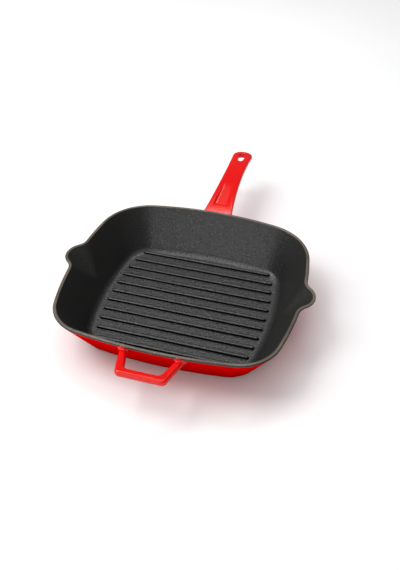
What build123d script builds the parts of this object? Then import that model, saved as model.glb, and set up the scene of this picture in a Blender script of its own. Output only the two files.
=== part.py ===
from build123d import *
import os
from math import atan2, cos, degrees, pi, radians, sin, sqrt, tan

# A square cast-iron grill pan with an enamel coat: black inside and over the rim, red outside.
# Millimetres. The origin is the middle of the flat base, +Z is up, +Y points to the long handle.

# Bowl from above: four bowed sides joined by round corners. The outline is taken in towards the foot, and
# its corner radii, given before that inset, run from the rim's to the foot's.
rim_half_width = 140.0
rim_half_depth = 131.2
side_bow_radius = 396.0
front_bow_radius = 620.0
front_corner_radius = 49.5
back_bow_radius = 420.0
back_corner_radius = 66.0
foot_corner_radius = 67.0

# Bowl from the side
pan_height = 56.5
wall_lean = 30.5
wall_thickness = 4.4
floor_thickness = 5.0
base_edge_radius = 12.0
bowl_foot_radius = 11.0
rim_outer_radius = 1.7
rim_inner_radius = 1.3

# Pour spouts, one in the middle of each side, that fade into the wall below
spout_reach = 13.4
spout_fade_reach = 0.3
spout_tip_radius = 22.0
spout_fade_radius = 12.0
spout_neck_radius = 16.0
spout_fade_height = 25.0

# Enamel coat
enamel = 0.4
black_edge_drop = 2.2

# Grill ribs on the floor, side by side along the depth
rib_count = 11
rib_pitch = 16.33
rib_field_shift = 2.0
rib_height = 3.2
rib_top_width = 4.0
rib_foot_width = 4.8
rib_end_slope = 1.0
rib_edge_radius = 0.7
rib_end_gap = 1.5
outer_rib_shortening = 2.5

# Long handle: plan widths, and lengths measured outwards from the rim
handle_length = 159.0
handle_root_half_width = 22.5
handle_mid_half_width = 15.0
handle_waist_half_width = 13.0
handle_end_half_width = 14.0
handle_mid_distance = 49.8
handle_waist_distance = 102.0
handle_end_length = 12.5
handle_seat = 16.0

# Long handle: an arched bar whose crest stands above the rim
handle_rise = 1.3
handle_arch_radius = 470.0
handle_crest_distance = 99.8
handle_thickness = 7.6
handle_top_radius = 2.4
handle_under_radius = 3.0

# Thumb recess on top of the long handle, deepest near the pan
recess_start = 25.0
recess_length = 43.0
recess_near_half_width = 8.3
recess_far_half_width = 5.6
recess_depth = 2.6
recess_wall_slope = 42.0
recess_corner_radius = 1.8

# Hanging slot near the end of the long handle
slot_near_radius = 3.6
slot_far_radius = 4.6
slot_length = 23.0
slot_end_margin = 7.6
slot_edge_radius = 1.1

# Helper loop at the front, measured outwards from the rim
helper_length = 34.8
helper_root_half_width = 39.0
helper_end_half_width = 27.6
helper_arm_width = 8.0
helper_bar_width = 10.0
helper_seat = 16.0
helper_root_top_drop = 6.0
helper_end_top_drop = 0.2
helper_root_thickness = 8.4
helper_end_thickness = 8.2
helper_outer_corner_radius = 5.5
helper_inner_corner_radius = 3.8
helper_edge_radius = 3.6

# How finely the round levels are stepped, and how far cutting solids run past what they cut
foot_steps = 6
lip_steps = 4
overrun = 5.0

# Fixed centres of the plan arcs: every level is the same outline, inset
lean = radians(wall_lean)
side_centre = Vector(rim_half_width - side_bow_radius, 0)
black_edge_height = pan_height - black_edge_drop


def meeting_point(first, first_reach, second, second_reach):
    """The point at the two given distances from two centres, left of the line from first to second."""
    gap = second - first
    along = (first_reach**2 - second_reach**2 + gap.length**2) / (2 * gap.length)
    aside = sqrt(first_reach**2 - along**2)
    ahead = gap.normalized()
    return first + ahead * along + Vector(-ahead.Y, ahead.X) * aside


def heading(start, end):
    """Direction in degrees from one plan point to another."""
    return degrees(atan2(end.Y - start.Y, end.X - start.X))


def quarter_level(height, inset, depth, bow_radius, rim_corner_radius):
    """A quarter of the bowl's outline at one height. Depth is how far it lies in from the outer skin."""
    fade = max(0, (height - spout_fade_height) / (pan_height - spout_fade_height))
    tip_radius = spout_fade_radius + (spout_tip_radius - spout_fade_radius) * fade - depth
    reach = spout_fade_reach + (spout_reach - spout_fade_reach) * fade
    neck_radius = spout_neck_radius + depth
    side_radius = side_bow_radius - inset
    corner_radius = foot_corner_radius + (rim_corner_radius - foot_corner_radius) * height / pan_height
    corner_reach = side_bow_radius - corner_radius
    bow_centre = Vector(0, rim_half_depth - bow_radius)
    corner_centre = meeting_point(side_centre, corner_reach, bow_centre, bow_radius - corner_radius)
    side_end_angle = heading(side_centre, corner_centre)
    bow_start_angle = heading(bow_centre, corner_centre)
    corner_sweep = bow_start_angle - side_end_angle
    tip_centre = Vector(rim_half_width - inset + reach - tip_radius, 0)
    neck_reach = side_radius + neck_radius
    neck_centre = meeting_point(side_centre, neck_reach, tip_centre, tip_radius + neck_radius)
    tip_angle = heading(tip_centre, neck_centre)
    neck_angle = heading(side_centre, neck_centre)
    with BuildSketch(Plane.XY.offset(height)) as level:
        with BuildLine():
            Line((0, 0), (tip_centre.X + tip_radius, 0))
            CenterArc(tip_centre, tip_radius, 0, tip_angle)
            CenterArc(neck_centre, neck_radius, 180 + tip_angle, neck_angle - tip_angle)
            CenterArc(side_centre, side_radius, neck_angle, side_end_angle - neck_angle)
            CenterArc(corner_centre, corner_radius - inset, side_end_angle, corner_sweep)
            CenterArc(bow_centre, bow_radius - inset, bow_start_angle, 90 - bow_start_angle)
            Line((0, rim_half_depth - inset), (0, 0))
        make_face()
    return level.sketch


def quarter_block(levels, depth, bow_radius, corner_radius):
    """A quarter of a bowl-shaped block, through (height, inset) levels."""
    sections = [quarter_level(height, inset, depth, bow_radius, corner_radius) for height, inset in levels]
    with BuildPart() as quarter:
        loft(sections, ruled=True)
    return quarter.part


def stack_levels(levels, depth):
    """A solid bowl-shaped block: a back quarter and a front quarter, mirrored to the other side."""
    with BuildPart() as block:
        mirror(quarter_block(levels, depth, front_bow_radius, front_corner_radius), about=Plane.XZ)
        add(quarter_block(levels, depth, back_bow_radius, back_corner_radius))
        mirror(about=Plane.YZ)
    return block.part


def wall_level(height, wall_inset):
    """Level of a leaning wall that would meet the rim plane at the given inset."""
    return height, wall_inset + (pan_height - height) * tan(lean)


def foot_levels(floor, radius, wall_inset):
    """Levels of the round foot of a skin, from its flat floor up to its leaning wall."""
    centre_height = floor + radius
    centre_inset = wall_inset + radius / cos(lean) + (pan_height - centre_height) * tan(lean)
    turns = [(pi / 2 - lean) * step / foot_steps for step in range(foot_steps + 1)]
    return [(centre_height - radius * cos(turn), centre_inset - radius * sin(turn)) for turn in turns]


# Where the leaning wall's faces would meet the rim plane if nothing were rounded
outer_wall_inset = rim_outer_radius * (1 - tan(lean) - 1 / cos(lean))
inner_wall_inset = outer_wall_inset + wall_thickness / cos(lean)
inner_lip_inset = inner_wall_inset - rim_inner_radius * (1 / cos(lean) - tan(lean))


def outer_block(skin):
    """Everything inside the outer skin, taken in by the given thickness all over."""
    radius = rim_outer_radius - skin
    centre_height = pan_height - rim_outer_radius
    turns = [(pi / 2 + lean) * step / lip_steps - lean for step in range(lip_steps + 1)]
    lip = [(centre_height + radius * sin(turn), rim_outer_radius - radius * cos(turn)) for turn in turns]
    wall_inset = outer_wall_inset + skin / cos(lean)
    foot = foot_levels(skin, base_edge_radius - skin, wall_inset)
    return stack_levels(foot + [wall_level(spout_fade_height, wall_inset)] + lip, skin / cos(lean))


def hollow_block(skin):
    """The bowl's hollow, enlarged by the given thickness all over."""
    radius = rim_inner_radius - skin
    centre_height = pan_height - rim_inner_radius
    turns = [(pi / 2 - lean) * step / lip_steps + lean for step in range(lip_steps + 1)]
    lip = [(centre_height + radius * sin(turn), inner_lip_inset + radius * cos(turn)) for turn in turns]
    wall_inset = inner_wall_inset - skin / cos(lean)
    foot = foot_levels(floor_thickness - skin, bowl_foot_radius + skin, wall_inset)
    return stack_levels(foot + [wall_level(spout_fade_height, wall_inset)] + lip, wall_inset)


def rib_block(row, skin):
    """One drafted rib with round ends, taken in by the given thickness all over."""
    offset = (row - (rib_count - 1) / 2) * rib_pitch + rib_field_shift
    floor_inset = foot_levels(floor_thickness, bowl_foot_radius, inner_wall_inset)[0][1]
    end_radius = side_bow_radius - floor_inset - rib_end_gap
    shortening = outer_rib_shortening if row in (0, rib_count - 1) else 0
    half_length = side_centre.X + sqrt(end_radius**2 - offset**2) - shortening - skin
    with BuildPart() as rib:
        with BuildSketch(Plane.XY.offset(floor_thickness - skin)) as foot:
            with Locations((0, offset)):
                SlotOverall(2 * half_length, rib_foot_width - 2 * skin)
        with BuildSketch(Plane.XY.offset(floor_thickness + rib_height - skin)) as top:
            with Locations((0, offset)):
                SlotOverall(2 * (half_length - rib_end_slope), rib_top_width - 2 * skin)
        loft([foot.sketch, top.sketch], ruled=True)
        fillet(rib.faces().sort_by(Axis.Z)[-1].edges(), rib_edge_radius - skin)
    return rib.part


def long_handle_block(skin):
    """The arched long handle with its recess and slot, taken in by the given thickness all over."""
    root = rim_half_depth - handle_seat
    middle = rim_half_depth + handle_mid_distance
    waist = rim_half_depth + handle_waist_distance
    tip = rim_half_depth + handle_length
    widest = tip - handle_end_length
    crest = Vector(rim_half_depth + handle_crest_distance, pan_height + handle_rise)
    arch_centre = Vector(crest.X, crest.Y - handle_arch_radius)
    recess_near = rim_half_depth + recess_start
    recess_far = recess_near + recess_length
    slot_far = tip - slot_end_margin - slot_far_radius
    slot_near = tip - slot_end_margin - slot_length + slot_near_radius

    def arch_height(distance):
        """Height of the handle's top at a distance along the depth."""
        return arch_centre.Y + sqrt(handle_arch_radius**2 - (distance - arch_centre.X) ** 2)

    near_floor = Vector(0, recess_near, arch_height(recess_near) - recess_depth - skin)
    far_floor = Vector(0, recess_far, arch_height(recess_far) - skin)
    recess_normal = Vector(1, 0, 0).cross(far_floor - near_floor)
    recess_floor = Plane(origin=near_floor, x_dir=(1, 0, 0), z_dir=recess_normal)
    with BuildPart() as handle:
        with BuildSketch(Plane.XY):
            with BuildLine():
                Line((0, root), (handle_root_half_width - skin, root))
                Spline(
                    (handle_root_half_width - skin, root),
                    (handle_mid_half_width - skin, middle),
                    (handle_waist_half_width - skin, waist),
                    (handle_end_half_width - skin, widest),
                )
                EllipticalCenterArc((0, widest), handle_end_half_width - skin, handle_end_length - skin)
                mirror(about=Plane.YZ)
            make_face()
        extrude(amount=crest.Y + overrun)
        with BuildSketch(Plane.YZ):
            with Locations((arch_centre.X, arch_centre.Y)):
                Circle(handle_arch_radius - skin)
                Circle(handle_arch_radius - handle_thickness + skin, mode=Mode.SUBTRACT)
        extrude(amount=handle_root_half_width + overrun, both=True, mode=Mode.INTERSECT)
        top_face = handle.faces().sort_by(Axis.Z)[-1]
        top_edges = top_face.edges().filter_by(lambda edge: edge.center().Y > root + overrun)
        under_face = handle.faces().filter_by(GeomType.CYLINDER).sort_by(Axis.Z)[0]
        under_edges = under_face.edges().filter_by(lambda edge: edge.center().Y > root + overrun)
        fillet(top_edges, handle_top_radius - skin)
        fillet(under_edges, handle_under_radius - skin)
        with BuildSketch(recess_floor) as recess:
            with BuildLine():
                Polyline(
                    (-recess_near_half_width - skin, -skin),
                    (recess_near_half_width + skin, -skin),
                    (recess_far_half_width + skin, recess_length + overrun),
                    (-recess_far_half_width - skin, recess_length + overrun),
                    close=True,
                )
            make_face()
            fillet(recess.vertices().group_by(Axis.Y)[0], recess_corner_radius + skin)
        extrude(amount=recess_depth + overrun, taper=-recess_wall_slope, mode=Mode.SUBTRACT)
        with BuildSketch(Plane.XY):
            with Locations((0, slot_near)):
                Circle(slot_near_radius + skin)
            with Locations((0, slot_far)):
                Circle(slot_far_radius + skin)
            make_hull()
        extrude(amount=crest.Y + overrun, mode=Mode.SUBTRACT)
        fillet(handle.edges(Select.NEW).filter_by(Axis.Z, reverse=True), slot_edge_radius - skin)
    return handle.part


def helper_handle_block(skin):
    """The helper loop: two arms and a bar, taken in by the given thickness all over."""
    root = -rim_half_depth + helper_seat
    end = -rim_half_depth - helper_length
    bar = end + helper_bar_width
    root_top = pan_height - helper_root_top_drop
    end_top = pan_height - helper_end_top_drop
    with BuildPart() as helper:
        with BuildSketch(Plane.XY) as plan:
            with BuildLine():
                Polyline(
                    (-helper_root_half_width + skin, root),
                    (-helper_end_half_width + skin, end + skin),
                    (helper_end_half_width - skin, end + skin),
                    (helper_root_half_width - skin, root),
                    close=True,
                )
            make_face()
            fillet(plan.vertices().group_by(Axis.Y)[0], helper_outer_corner_radius - skin)
        extrude(amount=pan_height)
        with BuildSketch(Plane.XY) as gap:
            with BuildLine():
                Polyline(
                    (-helper_root_half_width + helper_arm_width - skin, root),
                    (-helper_end_half_width + helper_arm_width - skin, bar - skin),
                    (helper_end_half_width - helper_arm_width + skin, bar - skin),
                    (helper_root_half_width - helper_arm_width + skin, root),
                    close=True,
                )
            make_face()
            fillet(gap.vertices().group_by(Axis.Y)[0], helper_inner_corner_radius + skin)
        extrude(amount=pan_height, mode=Mode.SUBTRACT)
        with BuildSketch(Plane.YZ):
            with BuildLine():
                Polyline(
                    (root, root_top - skin),
                    (end, end_top - skin),
                    (end, end_top - helper_end_thickness + skin),
                    (root, root_top - helper_root_thickness + skin),
                    close=True,
                )
            make_face()
        extrude(amount=helper_root_half_width, both=True, mode=Mode.INTERSECT)
        level_edges = helper.edges().filter_by(Axis.Z, reverse=True)
        round_edges = level_edges.filter_by(lambda edge: edge.center().Y < root - skin)
        fillet(round_edges, helper_edge_radius - skin)
    return helper.part


os.makedirs("parts", exist_ok=True)

outer_skin = outer_block(0)
iron_skin = outer_block(enamel)
hollow_skin = hollow_block(0)
iron_hollow = hollow_block(enamel)
long_handle_iron = long_handle_block(enamel)
long_handle_skin = long_handle_block(0)
helper_handle_iron = helper_handle_block(enamel)
helper_handle_skin = helper_handle_block(0)

# Iron casting: the bowl, then the ribs and handles that grow out of it
with BuildPart() as pan_body:
    add(iron_skin)
    add(iron_hollow, mode=Mode.SUBTRACT)
pan_body.part.label = "pan_body"
export_step(pan_body.part, "parts/pan_body.step")

for row in range(rib_count):
    with BuildPart() as grill_rib:
        add(rib_block(row, enamel))
        add(iron_hollow, mode=Mode.INTERSECT)
    grill_rib.part.label = f"grill_rib_{row + 1:02d}"
    export_step(grill_rib.part, f"parts/grill_rib_{row + 1:02d}.step")

with BuildPart() as long_handle:
    add(long_handle_iron)
    add(iron_skin, mode=Mode.SUBTRACT)
long_handle.part.label = "long_handle"
export_step(long_handle.part, "parts/long_handle.step")

with BuildPart() as helper_handle:
    add(helper_handle_iron)
    add(iron_skin, mode=Mode.SUBTRACT)
helper_handle.part.label = "helper_handle"
export_step(helper_handle.part, "parts/helper_handle.step")

# Black enamel: a cap over the rim, a lining down the hollow, and a coat on each rib
with BuildPart() as interior_black_enamel:
    add(outer_skin)
    split(bisect_by=Plane.XY.offset(black_edge_height), keep=Keep.TOP)
    add(iron_hollow)
    add(hollow_skin, mode=Mode.SUBTRACT)
    for row in range(rib_count):
        add(rib_block(row, 0))
    add(pan_body.part, mode=Mode.SUBTRACT)
    for row in range(rib_count):
        add(rib_block(row, enamel), mode=Mode.SUBTRACT)
interior_black_enamel.part.label = "interior_black_enamel"
export_step(interior_black_enamel.part, "parts/interior_black_enamel.step")

# Red enamel: the outside of the walls up to the black edge, pierced where the handles' iron passes
with BuildPart() as body_red_enamel:
    add(outer_skin)
    split(bisect_by=Plane.XY.offset(black_edge_height), keep=Keep.BOTTOM)
    split(bisect_by=Plane.XY.offset(enamel), keep=Keep.TOP)
    add(iron_skin, mode=Mode.SUBTRACT)
    add(long_handle_iron, mode=Mode.SUBTRACT)
    add(helper_handle_iron, mode=Mode.SUBTRACT)
body_red_enamel.part.label = "body_red_enamel"
export_step(body_red_enamel.part, "parts/body_red_enamel.step")

with BuildPart() as base_red_enamel:
    add(outer_skin)
    split(bisect_by=Plane.XY.offset(enamel), keep=Keep.BOTTOM)
base_red_enamel.part.label = "base_red_enamel"
export_step(base_red_enamel.part, "parts/base_red_enamel.step")

with BuildPart() as long_handle_red_enamel:
    add(long_handle_skin)
    add(long_handle_iron, mode=Mode.SUBTRACT)
    add(outer_skin, mode=Mode.SUBTRACT)
long_handle_red_enamel.part.label = "long_handle_red_enamel"
export_step(long_handle_red_enamel.part, "parts/long_handle_red_enamel.step")

with BuildPart() as helper_handle_red_enamel:
    add(helper_handle_skin)
    add(helper_handle_iron, mode=Mode.SUBTRACT)
    add(outer_skin, mode=Mode.SUBTRACT)
helper_handle_red_enamel.part.label = "helper_handle_red_enamel"
export_step(helper_handle_red_enamel.part, "parts/helper_handle_red_enamel.step")
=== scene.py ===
from itertools import pairwise, product
from math import atan2, cos, pi, radians, sin, sqrt, tan

import bpy
import numpy as np
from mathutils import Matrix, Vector


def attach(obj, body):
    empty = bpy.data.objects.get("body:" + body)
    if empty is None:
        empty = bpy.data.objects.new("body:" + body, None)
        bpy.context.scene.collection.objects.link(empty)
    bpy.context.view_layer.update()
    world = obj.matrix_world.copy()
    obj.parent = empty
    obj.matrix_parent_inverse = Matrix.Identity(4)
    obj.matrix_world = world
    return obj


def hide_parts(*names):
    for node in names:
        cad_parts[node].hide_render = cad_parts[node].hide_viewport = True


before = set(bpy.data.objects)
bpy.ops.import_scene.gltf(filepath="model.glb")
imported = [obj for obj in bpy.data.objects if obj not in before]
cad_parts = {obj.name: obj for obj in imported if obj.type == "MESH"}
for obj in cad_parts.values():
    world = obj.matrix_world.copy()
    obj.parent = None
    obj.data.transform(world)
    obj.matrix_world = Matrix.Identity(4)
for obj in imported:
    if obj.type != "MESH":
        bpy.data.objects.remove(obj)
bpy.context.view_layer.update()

MM = 0.001

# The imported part's own measures, in millimetres. An inset is how far a level lies in from the rim's outline.
HALF_WIDTH, HALF_DEPTH = 140.0, 131.2
SIDE_BOW = 396.0
FRONT_BOW, FRONT_CORNER = 620.0, 49.5
BACK_BOW, BACK_CORNER = 420.0, 66.0
FOOT_CORNER = 67.0
HEIGHT = 56.5
LEAN = radians(30.5)
WALL, FLOOR = 4.4, 5.0
BASE_ROUND, BOWL_ROUND = 12.0, 11.0
LIP_OUTER, LIP_INNER = 1.7, 1.3
SPOUT_REACH, SPOUT_FADE_REACH = 13.4, 0.3
SPOUT_TIP, SPOUT_FADE_TIP, SPOUT_NECK = 22.0, 12.0, 16.0
SPOUT_FADE_HEIGHT = 25.0
BLACK_EDGE = HEIGHT - 2.2

RIBS, RIB_PITCH, RIB_SHIFT = 11, 16.33, 2.0
RIB_HEIGHT, RIB_TOP, RIB_FOOT, RIB_SLOPE = 3.2, 4.0, 4.8, 1.0
RIB_END_GAP, OUTER_RIB_SHORT = 1.5, 2.5

OUTER_WALL_INSET = LIP_OUTER * (1 - tan(LEAN) - 1 / cos(LEAN))
INNER_WALL_INSET = OUTER_WALL_INSET + WALL / cos(LEAN)
INNER_LIP_INSET = INNER_WALL_INSET - LIP_INNER * (1 / cos(LEAN) - tan(LEAN))


# Materials. Their lengths are in metres, as their coordinates are.


def new_material(name):
    material = bpy.data.materials.new(name)
    material.use_nodes = True
    tree = material.node_tree
    shader = next(n for n in tree.nodes if n.type == "BSDF_PRINCIPLED")
    return material, tree, shader


def put(tree, value, socket):
    """Sets a socket to a number or a colour, or links another socket to it."""
    if isinstance(value, (int, float, tuple)):
        socket.default_value = value
    else:
        tree.links.new(value, socket)


def noise_node(tree, coords, scale, detail, rough):
    node = tree.nodes.new("ShaderNodeTexNoise")
    node.inputs["Scale"].default_value = scale
    node.inputs["Detail"].default_value = detail
    node.inputs["Roughness"].default_value = rough
    tree.links.new(coords, node.inputs["Vector"])
    return node.outputs["Fac"]


def ramp_node(tree, value, low, low_colour, high, high_colour):
    node = tree.nodes.new("ShaderNodeValToRGB")
    for element, place, colour in zip(node.color_ramp.elements, (low, high), (low_colour, high_colour)):
        element.position = place
        element.color = (*colour, 1)
    tree.links.new(value, node.inputs["Fac"])
    return node.outputs["Color"]


def range_node(tree, value, low, high, low_to, high_to):
    node = tree.nodes.new("ShaderNodeMapRange")
    for name, number in (("From Min", low), ("From Max", high), ("To Min", low_to), ("To Max", high_to)):
        node.inputs[name].default_value = number
    tree.links.new(value, node.inputs["Value"])
    return node.outputs["Result"]


def math_node(tree, operation, *values):
    node = tree.nodes.new("ShaderNodeMath")
    node.operation = operation
    for value, socket in zip(values, node.inputs):
        put(tree, value, socket)
    return node.outputs["Value"]


def colour_mix(tree, blend, share, first, second):
    node = tree.nodes.new("ShaderNodeMix")
    node.data_type = "RGBA"
    node.blend_type = blend
    for name, value in (("Factor", share), ("A", first), ("B", second)):
        put(tree, value, node.inputs[name])
    return node.outputs["Result"]


def bump_chain(tree, shader, layers):
    """Bump layers of (height value, distance, strength)."""
    previous = None
    for height, distance, strength in layers:
        node = tree.nodes.new("ShaderNodeBump")
        node.inputs["Distance"].default_value = distance
        node.inputs["Strength"].default_value = strength
        tree.links.new(height, node.inputs["Height"])
        if previous:
            tree.links.new(previous, node.inputs["Normal"])
        previous = node.outputs["Normal"]
    tree.links.new(previous, shader.inputs["Normal"])


def coords_of(tree):
    return tree.nodes.new("ShaderNodeTexCoord").outputs["Object"]


def part_of(tree, vector, axis):
    node = tree.nodes.new("ShaderNodeSeparateXYZ")
    tree.links.new(vector, node.inputs["Vector"])
    return node.outputs[axis]


def facing_up(tree):
    """How far a surface faces up: one for a floor, zero for an upright wall."""
    return part_of(tree, tree.nodes.new("ShaderNodeNewGeometry").outputs["Normal"], "Z")


def side_wall_painted_light_mask(tree, coords):
    """Zero over the middle of the floor, rising to one on the bowl's left and right walls, where it paints
    light: a greyer colour with less gloss.
    """
    floor_end, wall_start = 100.0 * MM, 116.19 * MM
    across = part_of(tree, coords, "X")
    squared = math_node(tree, "MULTIPLY", across, across)
    return range_node(tree, squared, floor_end**2, wall_start**2, 0.0, 1.0)


def rib_side_painted_shade_mask(tree, coords):
    """One on the steep sides of the ribs, where it paints shade: a near-black colour with little gloss."""
    top = (FLOOR + RIB_HEIGHT) * MM
    fade = 0.6 * MM
    steep = range_node(tree, facing_up(tree), 0.42, 0.58, 1.0, 0.0)
    low = range_node(tree, part_of(tree, coords, "Z"), top, top + fade, 1.0, 0.0)
    return math_node(tree, "MULTIPLY", steep, low)


def rim_crest_wear_and_highlight_mask(tree, coords, cloud):
    """Up to 0.9 along the crest of the rim, and patchy: a tan band that is partly worn enamel and partly a
    painted highlight.
    """
    start, full = (HEIGHT - 0.55) * MM, (HEIGHT - 0.1) * MM
    crest = range_node(tree, part_of(tree, coords, "Z"), start, full, 0.0, 1.0)
    return math_node(tree, "MULTIPLY", crest, range_node(tree, cloud, 0.3, 0.6, 0.35, 0.9))


def black_enamel():
    """Satin black with a fine grain, with painted light that makes the side walls greyer, painted shade that
    makes the ribs' sides black, and a patchy tan band on the rim that is partly worn enamel and partly a
    painted highlight.
    """
    material, tree, shader = new_material("black_enamel")
    coords = coords_of(tree)
    cloud = noise_node(tree, coords, 22, 3, 0.6)
    grain = noise_node(tree, coords, 400, 3, 0.6)
    speck = noise_node(tree, coords, 1500, 1, 0.5)
    painted_wall_light = side_wall_painted_light_mask(tree, coords)
    painted_rib_shade = rib_side_painted_shade_mask(tree, coords)
    rim_wear_and_highlight = rim_crest_wear_and_highlight_mask(tree, coords, cloud)

    tone = ramp_node(tree, cloud, 0.3, (0.009, 0.009, 0.0092), 0.7, (0.013, 0.0128, 0.0125))
    dots = ramp_node(tree, speck, 0.62, (0, 0, 0), 0.76, (0.012, 0.011, 0.010))
    # Painted light: the left and right walls greyer.
    with_painted_wall_light = colour_mix(tree, "MIX", painted_wall_light, tone, (0.017, 0.0168, 0.0162, 1.0))
    speckled = colour_mix(tree, "ADD", 1.0, with_painted_wall_light, dots)
    # Painted shade: the ribs' steep sides near black.
    with_painted_rib_shade = colour_mix(tree, "MIX", painted_rib_shade, speckled, (0.002, 0.002, 0.002, 1.0))
    # Tan band on the rim's crest: partly worn enamel, partly a painted highlight.
    with_rim_wear_and_highlight = colour_mix(tree, "MIX", rim_wear_and_highlight, with_painted_rib_shade, (0.14, 0.112, 0.085, 1.0))
    tree.links.new(with_rim_wear_and_highlight, shader.inputs["Base Color"])

    matt = math_node(tree, "MAXIMUM", painted_rib_shade, range_node(tree, painted_wall_light, 0.0, 1.0, 0.0, 0.75))
    tree.links.new(range_node(tree, matt, 0.0, 1.0, 0.5, 0.1), shader.inputs["Specular IOR Level"])
    grain_roughness = range_node(tree, grain, 0.3, 0.7, 0.22, 0.40)
    roughness = math_node(tree, "MULTIPLY_ADD", painted_wall_light, 0.2, grain_roughness)
    tree.links.new(roughness, shader.inputs["Roughness"])
    shader.inputs["IOR"].default_value = 1.5
    bump_chain(tree, shader, [(grain, 0.0007, 0.85), (cloud, 0.0006, 0.25)])
    return material


def red_enamel():
    """Glossy red, with painted shade where it faces down that grows darker towards the bottom, and without
    gloss where it faces down.
    """
    material, tree, shader = new_material("red_enamel")
    coords = coords_of(tree)
    cloud = noise_node(tree, coords, 14, 3, 0.6)
    ripple = noise_node(tree, coords, 170, 2, 0.5)
    fine = noise_node(tree, coords, 900, 2, 0.5)
    facing_down = range_node(tree, facing_up(tree), -0.45, 0.0, 1.0, 0.0)
    height = range_node(tree, part_of(tree, coords, "Z"), 0.0, HEIGHT * MM, 0.0, 1.0)

    tone = ramp_node(tree, cloud, 0.3, (0.66, 0.0012, 0.0010), 0.7, (0.74, 0.0022, 0.0016))
    # Painted shade: darker where the red faces down, darker still towards the bottom.
    painted_shade = ramp_node(tree, height, 0.1, (0.38, 0.0006, 0.0006), 0.9, (0.60, 0.0010, 0.0010))
    tree.links.new(colour_mix(tree, "MIX", facing_down, tone, painted_shade), shader.inputs["Base Color"])
    tree.links.new(range_node(tree, fine, 0.3, 0.7, 0.10, 0.16), shader.inputs["Roughness"])
    tree.links.new(range_node(tree, facing_down, 0.0, 1.0, 0.6, 0.0), shader.inputs["Specular IOR Level"])
    shader.inputs["IOR"].default_value = 1.5
    shader.inputs["Specular Tint"].default_value = (1.0, 0.70, 0.62, 1.0)
    bump_chain(tree, shader, [(ripple, 0.00025, 0.25), (fine, 0.00006, 0.2)])
    return material


def cast_iron():
    """Dull as-cast grey iron, which the enamel hides."""
    material, tree, shader = new_material("cast_iron")
    coords = coords_of(tree)
    cloud = noise_node(tree, coords, 30, 4, 0.6)
    grain = noise_node(tree, coords, 600, 3, 0.6)
    tone = ramp_node(tree, cloud, 0.3, (0.045, 0.045, 0.048), 0.7, (0.075, 0.073, 0.072))
    tree.links.new(tone, shader.inputs["Base Color"])
    shader.inputs["Metallic"].default_value = 0.6
    tree.links.new(range_node(tree, grain, 0.3, 0.7, 0.55, 0.8), shader.inputs["Roughness"])
    bump_chain(tree, shader, [(grain, 0.0003, 0.7)])
    return material


BLACK = black_enamel()
RED = red_enamel()
IRON = cast_iron()


# Meshes and plan outlines


def make_object(name, points, faces, material, smooth=True):
    """A mesh object from points in millimetres."""
    mesh = bpy.data.meshes.new(name)
    mesh.from_pydata([tuple(p) for p in np.asarray(points, float) * MM], [], faces)
    mesh.validate()
    mesh.update()
    if smooth:
        mesh.polygons.foreach_set("use_smooth", [True] * len(mesh.polygons))
    obj = bpy.data.objects.new(name, mesh)
    bpy.context.scene.collection.objects.link(obj)
    mesh.materials.append(material)
    return obj


def meeting(first, first_reach, second, second_reach):
    """The point at two distances from two centres, left of the line from first to second."""
    gap = second - first
    length = np.hypot(*gap)
    along = (first_reach**2 - second_reach**2 + length**2) / (2 * length)
    ahead = gap / length
    return first + ahead * along + np.array([-ahead[1], ahead[0]]) * sqrt(first_reach**2 - along**2)


def angle_to(start, end):
    return atan2(end[1] - start[1], end[0] - start[0])


def arc_points(centre, radius, start, end, count):
    """Points of an arc from its start up to, but without, its end."""
    turns = np.linspace(start, end, count, endpoint=False)
    return np.stack([centre[0] + radius * np.cos(turns), centre[1] + radius * np.sin(turns)], 1)


TIP_POINTS, NECK_POINTS, SIDE_POINTS, CORNER_POINTS, BOW_POINTS = 9, 10, 22, 20, 22
RING_GAP = 4.0


def quarter_outline(height, inset, depth, bow, corner):
    """Points of a quarter of the bowl's outline from the spout's tip to the middle of the front or back.
    Depth is how much tighter the spout's tip and wider its necks are than on the outer skin."""
    fade = max(0.0, (height - SPOUT_FADE_HEIGHT) / (HEIGHT - SPOUT_FADE_HEIGHT))
    tip_radius = SPOUT_FADE_TIP + (SPOUT_TIP - SPOUT_FADE_TIP) * fade - depth
    reach = SPOUT_FADE_REACH + (SPOUT_REACH - SPOUT_FADE_REACH) * fade
    neck = SPOUT_NECK + depth
    side = np.array([HALF_WIDTH - SIDE_BOW, 0.0])
    end = np.array([0.0, HALF_DEPTH - bow])
    side_radius = SIDE_BOW - inset
    corner = FOOT_CORNER + (corner - FOOT_CORNER) * height / HEIGHT
    corner_centre = meeting(side, SIDE_BOW - corner, end, bow - corner)
    tip = np.array([HALF_WIDTH - inset + reach - tip_radius, 0.0])
    neck_centre = meeting(side, side_radius + neck, tip, tip_radius + neck)
    tip_angle = angle_to(tip, neck_centre)
    neck_angle = angle_to(side, neck_centre)
    side_end = angle_to(side, corner_centre)
    bow_start = angle_to(end, corner_centre)
    return np.concatenate(
        [
            arc_points(tip, tip_radius, 0, tip_angle, TIP_POINTS),
            arc_points(neck_centre, neck, pi + tip_angle, pi + neck_angle, NECK_POINTS),
            arc_points(side, side_radius, neck_angle, side_end, SIDE_POINTS),
            arc_points(corner_centre, corner - inset, side_end, bow_start, CORNER_POINTS),
            arc_points(end, bow - inset, bow_start, pi / 2, BOW_POINTS),
        ]
    )


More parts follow.
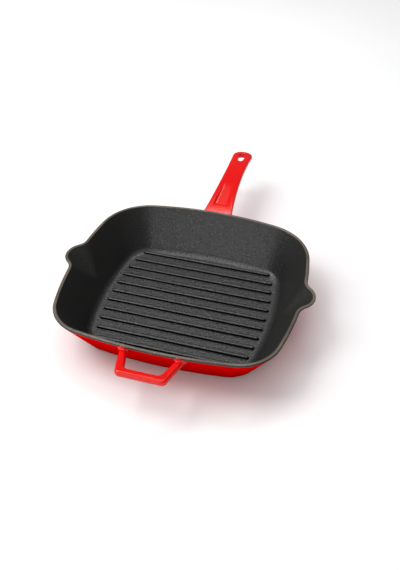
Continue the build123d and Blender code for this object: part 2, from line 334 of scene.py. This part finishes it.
def full_outline(height, inset, depth):
    """The bowl's closed outline at one height, anticlockwise from the right-hand spout's tip."""
    back = quarter_outline(height, inset, depth, BACK_BOW, BACK_CORNER)
    front = quarter_outline(height, inset, depth, FRONT_BOW, FRONT_CORNER)
    middle = np.array([[0.0, HALF_DEPTH - inset]])
    half_back = np.concatenate([back, middle, (back * [-1, 1])[::-1]])
    half_front = np.concatenate([front, middle, (front * [-1, 1])[::-1]]) * [1, -1]
    outline = np.concatenate([half_back, half_front[::-1][1:-1]])
    return np.column_stack([outline, np.full(len(outline), height)])


def ruled_rings(rings):
    """The rings with evenly spread ones put between those that lie far apart."""
    filled = []
    for first, last in pairwise(rings):
        steps = max(1, round(abs(last[0, 2] - first[0, 2]) / RING_GAP))
        filled += [first + (last - first) * step / steps for step in range(steps)]
    return filled + [rings[-1]]


def ring_faces(rings, count):
    """Faces between stacked rings of points, and a cap over the last ring."""
    faces = []
    for start in range(0, (rings - 1) * count, count):
        for i in range(count):
            j = (i + 1) % count
            faces.append((start + i, start + j, start + count + j, start + count + i))
    faces.append(tuple(range((rings - 1) * count, rings * count)))
    return faces


def skin_object(name, levels, material):
    """A skin through (height, inset, depth) levels, with a flat cap over the last one."""
    rings = ruled_rings([full_outline(*level) for level in levels])
    return make_object(name, np.concatenate(rings), ring_faces(len(rings), len(rings[0])), material)


# Bowl: black inside and over the rim, red outside

OUTER_LIP_STEPS, INNER_LIP_STEPS, FOOT_STEPS = 12, 9, 14
EDGE_MARGIN = 0.02


def lip_level(radius, centre_inset, side, turn):
    """(height, inset) level on the rim's rounding; side is -1 on its outside and 1 on its inside."""
    return HEIGHT - radius + radius * sin(turn), centre_inset + side * radius * cos(turn)


def wall_level(height, wall_inset):
    """(height, inset) level of the leaning wall."""
    return height, wall_inset + (HEIGHT - height) * tan(LEAN)


def foot_levels(floor, radius, wall_inset, steps):
    """(height, inset) levels from the leaning wall down round the foot to the flat floor."""
    centre_height = floor + radius
    centre_inset = wall_inset + radius / cos(LEAN) + (HEIGHT - centre_height) * tan(LEAN)
    turns = np.linspace(pi / 2 - LEAN, 0, steps)
    return [(centre_height - radius * cos(t), centre_inset - radius * sin(t)) for t in turns]


def at_depth(levels, depth):
    """(height, inset, depth) levels from (height, inset) ones."""
    return [(height, inset, depth) for height, inset in levels]


outer_turns = np.linspace(-LEAN, pi / 2, OUTER_LIP_STEPS)
outer_lip = [lip_level(LIP_OUTER, LIP_OUTER, -1, turn) for turn in outer_turns]
inner_turns = np.linspace(pi / 2, LEAN, INNER_LIP_STEPS)
inner_lip = [lip_level(LIP_INNER, INNER_LIP_INSET, 1, turn) for turn in inner_turns]
edge_turn = np.arcsin((BLACK_EDGE - (HEIGHT - LIP_OUTER)) / LIP_OUTER)
black_edge = [(BLACK_EDGE, LIP_OUTER - LIP_OUTER * cos(edge_turn))]
above_edge = [level for level in outer_lip if level[0] > BLACK_EDGE + EDGE_MARGIN]
below_edge = [level for level in reversed(outer_lip) if level[0] < BLACK_EDGE - EDGE_MARGIN]

hollow = (
    inner_lip[1:]
    + [wall_level(SPOUT_FADE_HEIGHT, INNER_WALL_INSET)]
    + foot_levels(FLOOR, BOWL_ROUND, INNER_WALL_INSET, FOOT_STEPS)
)
lining_levels = at_depth(black_edge + above_edge, 0.0) + at_depth(hollow, INNER_WALL_INSET)
lining = skin_object("black_enamel_lining", lining_levels, BLACK)

outside = (
    black_edge
    + below_edge
    + [wall_level(SPOUT_FADE_HEIGHT, OUTER_WALL_INSET)]
    + foot_levels(0.0, BASE_ROUND, OUTER_WALL_INSET, FOOT_STEPS)
)
red_body = skin_object("red_enamel_body", at_depth(outside, 0.0), RED)
red_body.data.flip_normals()


# Ribs, with crowned tops and flared feet

RIB_CROWN, RIB_EDGE, RIB_FLARE, RIB_SINK = 0.35, 0.5, 0.7, 0.03
FLARE_STEPS, EDGE_STEPS, CROWN_STEPS, RIB_END_POINTS = 6, 7, 9, 9
CROWN_START_SHARE, CROWN_END_SHARE = 0.75, 0.02


def stadium(half_length, half_width, offset, height):
    """A closed ring round a rib: two half circles joined by straight sides."""
    centre = half_length - half_width
    right = arc_points((centre, offset), half_width, -pi / 2, pi / 2, RIB_END_POINTS)
    right = np.concatenate([right, [[centre, offset + half_width]]])
    left = right * [-1, 1]
    ring = np.concatenate([right, left[::-1]])
    return np.column_stack([ring, np.full(len(ring), height)])


def rib_levels():
    """(height, taken in) levels of a rib from its flared foot up a steep side and over a crowned top."""
    side_height = RIB_HEIGHT - RIB_CROWN
    side_top = FLOOR + side_height
    draft = atan2((RIB_FOOT - RIB_TOP) / 2, side_height)
    half_top = RIB_TOP / 2
    crown_radius = (half_top**2 + RIB_CROWN**2) / (2 * RIB_CROWN)
    crown_turn = np.arcsin(half_top / crown_radius)
    levels = []
    for turn in np.linspace(0, pi / 2 - draft, FLARE_STEPS):
        levels.append((FLOOR - RIB_SINK + RIB_FLARE * (1 - cos(turn)), RIB_FLARE * (sin(turn) - 1)))
    edge = RIB_EDGE * tan((pi / 2 - draft - crown_turn) / 2)
    edge_height = side_top - edge * cos(draft) - RIB_EDGE * sin(draft)
    edge_in = (RIB_FOOT - RIB_TOP) / 2 - edge * sin(draft) + RIB_EDGE * cos(draft)
    for turn in np.linspace(draft, pi / 2 - crown_turn, EDGE_STEPS):
        levels.append((edge_height + RIB_EDGE * sin(turn), edge_in - RIB_EDGE * cos(turn)))
    for share in np.linspace(CROWN_START_SHARE, CROWN_END_SHARE, CROWN_STEPS):
        across = half_top * share
        rise = sqrt(crown_radius**2 - across**2) - sqrt(crown_radius**2 - half_top**2)
        levels.append((side_top + rise, RIB_FOOT / 2 - across))
    return levels


def rib_object(row):
    offset = (row - (RIBS - 1) / 2) * RIB_PITCH + RIB_SHIFT
    floor_inset = foot_levels(FLOOR, BOWL_ROUND, INNER_WALL_INSET, 2)[-1][1]
    end_radius = SIDE_BOW - floor_inset - RIB_END_GAP
    half_length = HALF_WIDTH - SIDE_BOW + sqrt(end_radius**2 - offset**2)
    half_length -= OUTER_RIB_SHORT if row in (0, RIBS - 1) else 0
    rings = []
    for height, taken_in in rib_levels():
        rise_share = np.clip((height - FLOOR) / (RIB_HEIGHT - RIB_CROWN), 0, 1)
        end_slope = RIB_SLOPE * rise_share - (RIB_FOOT - RIB_TOP) / 2
        slope_in = max(end_slope, 0) if taken_in > 0 else 0
        rings.append(stadium(half_length - taken_in - slope_in, RIB_FOOT / 2 - taken_in, offset, height))
    faces = ring_faces(len(rings), len(rings[0]))
    return make_object(f"black_enamel_rib_{row + 1:02d}", np.concatenate(rings), faces, BLACK)


rib_objects = [rib_object(row) for row in range(RIBS)]


# Handles, from distances to their shapes in millimetres, which are negative inside

GRADIENT_STEP = 0.04
SETTLING_ROUNDS, LEAST_SLOPE = 8, 0.1


def round_max(first, second, radius):
    """What lies in both shapes, with a round edge between them."""
    corner = np.hypot(np.maximum(first + radius, 0), np.maximum(second + radius, 0))
    return np.minimum(np.maximum(first, second), -radius) + corner


def round_min(first, second, radius):
    """What lies in either shape, with a concave fillet between them."""
    return -round_max(-first, -second, radius)


def gradient(distance, points):
    steps = GRADIENT_STEP * np.eye(3)
    slopes = [distance(points + step) - distance(points - step) for step in steps]
    return np.stack(slopes, -1) / (2 * GRADIENT_STEP)


def surface_net(distance, low, high, cell):
    """Points, faces and normals of a shape's skin: one point per crossed cell, moved onto the skin."""
    low = np.array(low, float)
    axes = [np.arange(start, end + cell, cell) for start, end in zip(low, high)]
    inside = distance(np.stack(np.meshgrid(*axes, indexing="ij"), -1)) < 0
    a, b, c = np.array(inside.shape) - 1
    offsets = product((0, 1), repeat=3)
    corners = sum(inside[i : i + a, j : j + b, k : k + c].astype(int) for i, j, k in offsets)
    crossed = (corners > 0) & (corners < 8)
    number = np.full(crossed.shape, -1)
    number[crossed] = np.arange(crossed.sum())
    points = low + (np.argwhere(crossed) + 0.5) * cell
    for _ in range(SETTLING_ROUNDS):
        slope = gradient(distance, points)
        step = distance(points) / np.maximum((slope**2).sum(-1), LEAST_SLOPE)
        points = points - np.clip(step, -cell, cell)[:, None] * slope
    faces = []
    for axis in range(3):
        within = np.moveaxis(inside, axis, 0)
        cells = np.moveaxis(number, axis, 0)
        i, j, k = np.argwhere(within[1:, 1:-1, 1:-1] != within[:-1, 1:-1, 1:-1]).T
        ring = (cells[i, j, k], cells[i, j + 1, k], cells[i, j + 1, k + 1], cells[i, j, k + 1])
        quads = np.stack(ring, 1)
        turned = within[i, j + 1, k + 1] == (axis == 1)
        quads[turned] = quads[turned][:, ::-1]
        faces.extend(quads.tolist())
    return points, faces, gradient(distance, points)


def field_object(name, distance, box, cell, material):
    """The skin of a shape that lies in a box of two corners, with smooth normals from its distances."""
    points, faces, normals = surface_net(distance, *box, cell)
    obj = make_object(name, points, faces, material)
    normals /= np.linalg.norm(normals, axis=1)[:, None]
    obj.data.normals_split_custom_set_from_vertices(normals.tolist())
    return obj


ROOT_SINK, ROOT_SKIN = 0.15, 1.2


def wall_distance(points, bow, side):
    """Distance outside the bowl's wall at the back (side 1) or the front (side -1)."""
    x, y, z = np.moveaxis(points, -1, 0)
    inset = OUTER_WALL_INSET + (HEIGHT - z) * tan(LEAN)
    return (np.hypot(x, y * side - (HALF_DEPTH - bow)) - (bow - inset)) * cos(LEAN)


def grown_from_wall(handle, wall, fillet):
    """A handle with a concave fillet onto the wall, ending just under the wall's own skin."""
    sunk = wall + ROOT_SINK
    blended = round_min(handle, sunk, fillet)
    return np.maximum(np.maximum(blended, -sunk - ROOT_SKIN), handle - fillet)


# Long handle: distances along it are measured outwards from the rim

HANDLE_DISTANCES = (-16.0, 49.8, 102.0, 146.5)
HANDLE_HALF_WIDTHS = (22.5, 15.0, 13.0, 14.0)
HANDLE_END_WIDTH, HANDLE_END_LENGTH = 14.0, 12.5
CREST_DISTANCE, CREST_RISE, ARCH_RADIUS = 99.8, 1.3, 470.0
HANDLE_THICKNESS, HANDLE_TOP_ROUND, HANDLE_UNDER_ROUND = 7.6, 2.4, 3.0
HANDLE_ROOT_FILLET = 5.0
RECESS_START, RECESS_LENGTH, RECESS_DEPTH = 25.0, 43.0, 2.6
RECESS_NEAR, RECESS_FAR, RECESS_SLOPE = 8.3, 5.6, radians(42)
RECESS_CORNER, RECESS_FOOT, RECESS_EDGE = 2.4, 1.2, 0.8
SLOT_NEAR, SLOT_FAR, SLOT_LENGTH, SLOT_MARGIN, SLOT_EDGE = 3.6, 4.6, 23.0, 7.6, 1.3
ARCH_CENTRE = np.array([HALF_DEPTH + CREST_DISTANCE, HEIGHT + CREST_RISE - ARCH_RADIUS])
HANDLE_CURVE = np.polyfit([HALF_DEPTH + d for d in HANDLE_DISTANCES], HANDLE_HALF_WIDTHS, 3)
HANDLE_WIDEST = HALF_DEPTH + HANDLE_DISTANCES[-1]
HANDLE_TIP = HANDLE_WIDEST + HANDLE_END_LENGTH
# The sides taper, so the way across them is a little shorter than the way along X
SIDE_TAPER_SHARE = 0.99


def arch_height(y):
    return ARCH_CENTRE[1] + np.sqrt(ARCH_RADIUS**2 - (y - ARCH_CENTRE[0]) ** 2)


def handle_plan(x, y):
    """Distance outside the long handle's outline from above."""
    sides = (np.abs(x) - np.polyval(HANDLE_CURVE, np.minimum(y, HANDLE_WIDEST))) * SIDE_TAPER_SHARE
    end = np.hypot(x / HANDLE_END_WIDTH, np.maximum(y - HANDLE_WIDEST, 0) / HANDLE_END_LENGTH)
    return np.where(y < HANDLE_WIDEST, sides, (end - 1) * HANDLE_END_LENGTH)


def recess_distance(x, y, z):
    """Distance outside the thumb recess, which has a flat floor and sloping walls."""
    near = HALF_DEPTH + RECESS_START
    fall = arch_height(near + RECESS_LENGTH) - arch_height(near) + RECESS_DEPTH
    tilt = atan2(fall, RECESS_LENGTH)
    back, high = y - near, z - (arch_height(near) - RECESS_DEPTH)
    run = back * cos(tilt) + high * sin(tilt)
    rise = high * cos(tilt) - back * sin(tilt)
    half = RECESS_NEAR + (RECESS_FAR - RECESS_NEAR) * run / RECESS_LENGTH
    side = (np.abs(x) - half) * cos(RECESS_SLOPE) - rise * sin(RECESS_SLOPE)
    end = -run * cos(RECESS_SLOPE) - rise * sin(RECESS_SLOPE)
    return round_max(round_max(side, end, RECESS_CORNER), -rise, RECESS_FOOT)


def slot_distance(x, y):
    """Distance outside the tapered hanging slot, from above."""
    near = HANDLE_TIP - SLOT_MARGIN - SLOT_LENGTH + SLOT_NEAR
    length = HANDLE_TIP - SLOT_MARGIN - SLOT_FAR - near
    across, back = np.abs(x), y - near
    lean = (SLOT_NEAR - SLOT_FAR) / length
    upright = sqrt(1 - lean**2)
    along = upright * back - lean * across
    near_end = np.hypot(across, back) - SLOT_NEAR
    sides = upright * across + lean * back - SLOT_NEAR
    far_end = np.hypot(across, back - length) - SLOT_FAR
    return np.where(along < 0, near_end, np.where(along > upright * length, far_end, sides))


def long_handle_distance(points):
    x, y, z = np.moveaxis(points, -1, 0)
    reach = np.hypot(y - ARCH_CENTRE[0], z - ARCH_CENTRE[1])
    plan = handle_plan(x, y)
    top = round_max(plan, reach - ARCH_RADIUS, HANDLE_TOP_ROUND)
    under = round_max(plan, ARCH_RADIUS - HANDLE_THICKNESS - reach, HANDLE_UNDER_ROUND)
    bar = np.maximum(top, under)
    bar = round_max(bar, -recess_distance(x, y, z), RECESS_EDGE)
    bar = round_max(bar, -slot_distance(x, y), SLOT_EDGE)
    return grown_from_wall(bar, wall_distance(points, BACK_BOW, 1), HANDLE_ROOT_FILLET)


HANDLE_CELL = 0.8
HANDLE_BOX = (-30, 112, 26), (30, 293, 60)
long_handle = field_object("red_long_handle", long_handle_distance, HANDLE_BOX, HANDLE_CELL, RED)


# Helper loop: two splayed arms and a bar

HELPER_LENGTH, HELPER_SEAT = 34.8, 16.0
HELPER_ROOT_HALF, HELPER_END_HALF = 39.0, 27.6
ARM_WIDTH, BAR_WIDTH = 8.0, 10.0
HELPER_ROOT_TOP, HELPER_END_TOP = HEIGHT - 6.0, HEIGHT - 0.2
HELPER_ROOT_THICKNESS, HELPER_END_THICKNESS = 8.4, 8.2
HELPER_OUTER_ROUND, HELPER_INNER_ROUND, HELPER_EDGE = 4.6, 3.8, 3.4
HELPER_ROOT_FILLET = 3.6


def helper_distance(points):
    x, y, z = np.moveaxis(points, -1, 0)
    root, end = -HALF_DEPTH + HELPER_SEAT, -HALF_DEPTH - HELPER_LENGTH
    share, gap_share = (root - y) / (root - end), (root - y) / (root - end - BAR_WIDTH)
    narrowing = HELPER_ROOT_HALF - HELPER_END_HALF
    splay = atan2(narrowing, root - end)
    side = (np.abs(x) - HELPER_ROOT_HALF + narrowing * share) * cos(splay)
    gap_side = (np.abs(x) - HELPER_ROOT_HALF + ARM_WIDTH + narrowing * gap_share) * cos(splay)
    plan = round_max(side, end - y, HELPER_OUTER_ROUND)
    gap = round_max(gap_side, end + BAR_WIDTH - y, HELPER_INNER_ROUND)
    ring = np.maximum(plan, -gap)
    top = HELPER_ROOT_TOP + (HELPER_END_TOP - HELPER_ROOT_TOP) * share
    thickness = HELPER_ROOT_THICKNESS + (HELPER_END_THICKNESS - HELPER_ROOT_THICKNESS) * share
    upper = round_max(ring, z - top, HELPER_EDGE)
    lower = round_max(ring, top - thickness - z, HELPER_EDGE)
    loop = np.maximum(upper, lower)
    return grown_from_wall(loop, wall_distance(points, FRONT_BOW, -1), HELPER_ROOT_FILLET)


HELPER_CELL = 0.7
HELPER_BOX = (-46, -168, 34), (46, -112, 60)
helper_loop = field_object("red_helper_loop", helper_distance, HELPER_BOX, HELPER_CELL, RED)


# Nodes carried over from the CAD, and what stands for which

for name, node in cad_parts.items():
    node.data.materials.clear()
    if name.endswith("black_enamel"):
        node.data.materials.append(BLACK)
    elif name.endswith("red_enamel"):
        node.data.materials.append(RED)
    else:
        node.data.materials.append(IRON)

for piece in [lining, *rib_objects]:
    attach(piece, "root")
    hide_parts("interior_black_enamel")
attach(red_body, "root")
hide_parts("body_red_enamel", "base_red_enamel")
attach(long_handle, "root")
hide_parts("long_handle_red_enamel")
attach(helper_loop, "root")
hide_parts("helper_handle_red_enamel")


# Stage, in millimetres, and lights, in metres


def stage_material():
    material, tree, shader = new_material("pale_floor")
    cloud = noise_node(tree, coords_of(tree), 2.0, 2, 0.5)
    tone = ramp_node(tree, cloud, 0.3, (0.86, 0.86, 0.87), 0.7, (0.90, 0.90, 0.90))
    tree.links.new(tone, shader.inputs["Base Color"])
    shader.inputs["Roughness"].default_value = 0.9
    shader.inputs["IOR"].default_value = 1.2
    return material


STAGE_REACH = 4000.0
stage_corners = [(STAGE_REACH * x, STAGE_REACH * y, 0) for x, y in ((-1, -1), (1, -1), (1, 1), (-1, 1))]
floor = make_object("stage_floor", stage_corners, [(0, 1, 2, 3)], stage_material(), smooth=False)


def area_light(name, place, target, width, height, power):
    data = bpy.data.lights.new(name, "AREA")
    data.shape = "RECTANGLE"
    data.size = width
    data.size_y = height
    data.energy = power
    obj = bpy.data.objects.new(name, data)
    bpy.context.scene.collection.objects.link(obj)
    obj.location = place
    direction = Vector(target) - Vector(place)
    obj.rotation_euler = direction.to_track_quat("-Z", "Y").to_euler()


area_light("softbox_back", (-0.32, 0.72, 1.34), (0, 0.05, 0.03), 1.3, 0.34, 7.4)
area_light("softbox_front", (-0.45, -1.6, 0.6), (0, 0, 0.03), 1.25, 0.42, 7.4)
area_light("softbox_left", (-1.05, -0.15, 1.45), (0, 0, 0.03), 1.0, 1.0, 19)


SKY_EDGE, SKY_FULL = 0.64, 0.88
SKY_DIM, SKY_BRIGHT = 0.20, 1.03


def studio_world():
    """Dim surroundings, brightest overhead and a little towards the front. The light grows with the
    cosine of the angle to the brightest direction: dim up to the edge, bright from the full value on."""
    brightest = Vector((0.0, -0.12, 0.99)).normalized()
    world = bpy.data.worlds.new("studio")
    world.use_nodes = True
    tree = world.node_tree
    toward = tree.nodes.new("ShaderNodeVectorMath")
    toward.operation = "DOT_PRODUCT"
    toward.inputs[1].default_value = brightest
    tree.links.new(tree.nodes.new("ShaderNodeTexCoord").outputs["Generated"], toward.inputs[0])
    strength = range_node(tree, toward.outputs["Value"], SKY_EDGE, SKY_FULL, SKY_DIM, SKY_BRIGHT)
    background = tree.nodes["Background"]
    background.inputs["Color"].default_value = (1, 1, 1, 1)
    tree.links.new(strength, background.inputs["Strength"])
    return world


bpy.context.scene.world = studio_world()
bpy.context.scene.view_settings.view_transform = "Standard"


# Camera at the photo's angle. Its focal length and image height are in pixels of the photo.

CAMERA_AZIMUTH, CAMERA_ELEVATION = radians(16.2144), radians(41.4803)
CAMERA_TARGET, CAMERA_DISTANCE = (9.884, 22.630, 23.0), 895.335
FOCAL_LENGTH, IMAGE_HEIGHT = 731.336, 570.0
SENSOR_HEIGHT = 36.0


def make_camera():
    level = cos(CAMERA_ELEVATION)
    back = Vector((sin(CAMERA_AZIMUTH) * level, -cos(CAMERA_AZIMUTH) * level, sin(CAMERA_ELEVATION)))
    data = bpy.data.cameras.new("photo_camera")
    data.sensor_fit = "VERTICAL"
    data.sensor_height = SENSOR_HEIGHT
    data.lens = FOCAL_LENGTH * SENSOR_HEIGHT / IMAGE_HEIGHT
    data.clip_start = 0.01
    data.clip_end = 50.0
    obj = bpy.data.objects.new("photo_camera", data)
    bpy.context.scene.collection.objects.link(obj)
    obj.location = Vector(CAMERA_TARGET) * MM + back * CAMERA_DISTANCE * MM
    obj.rotation_euler = (-back).to_track_quat("-Z", "Y").to_euler()
    return obj


bpy.context.scene.camera = make_camera()
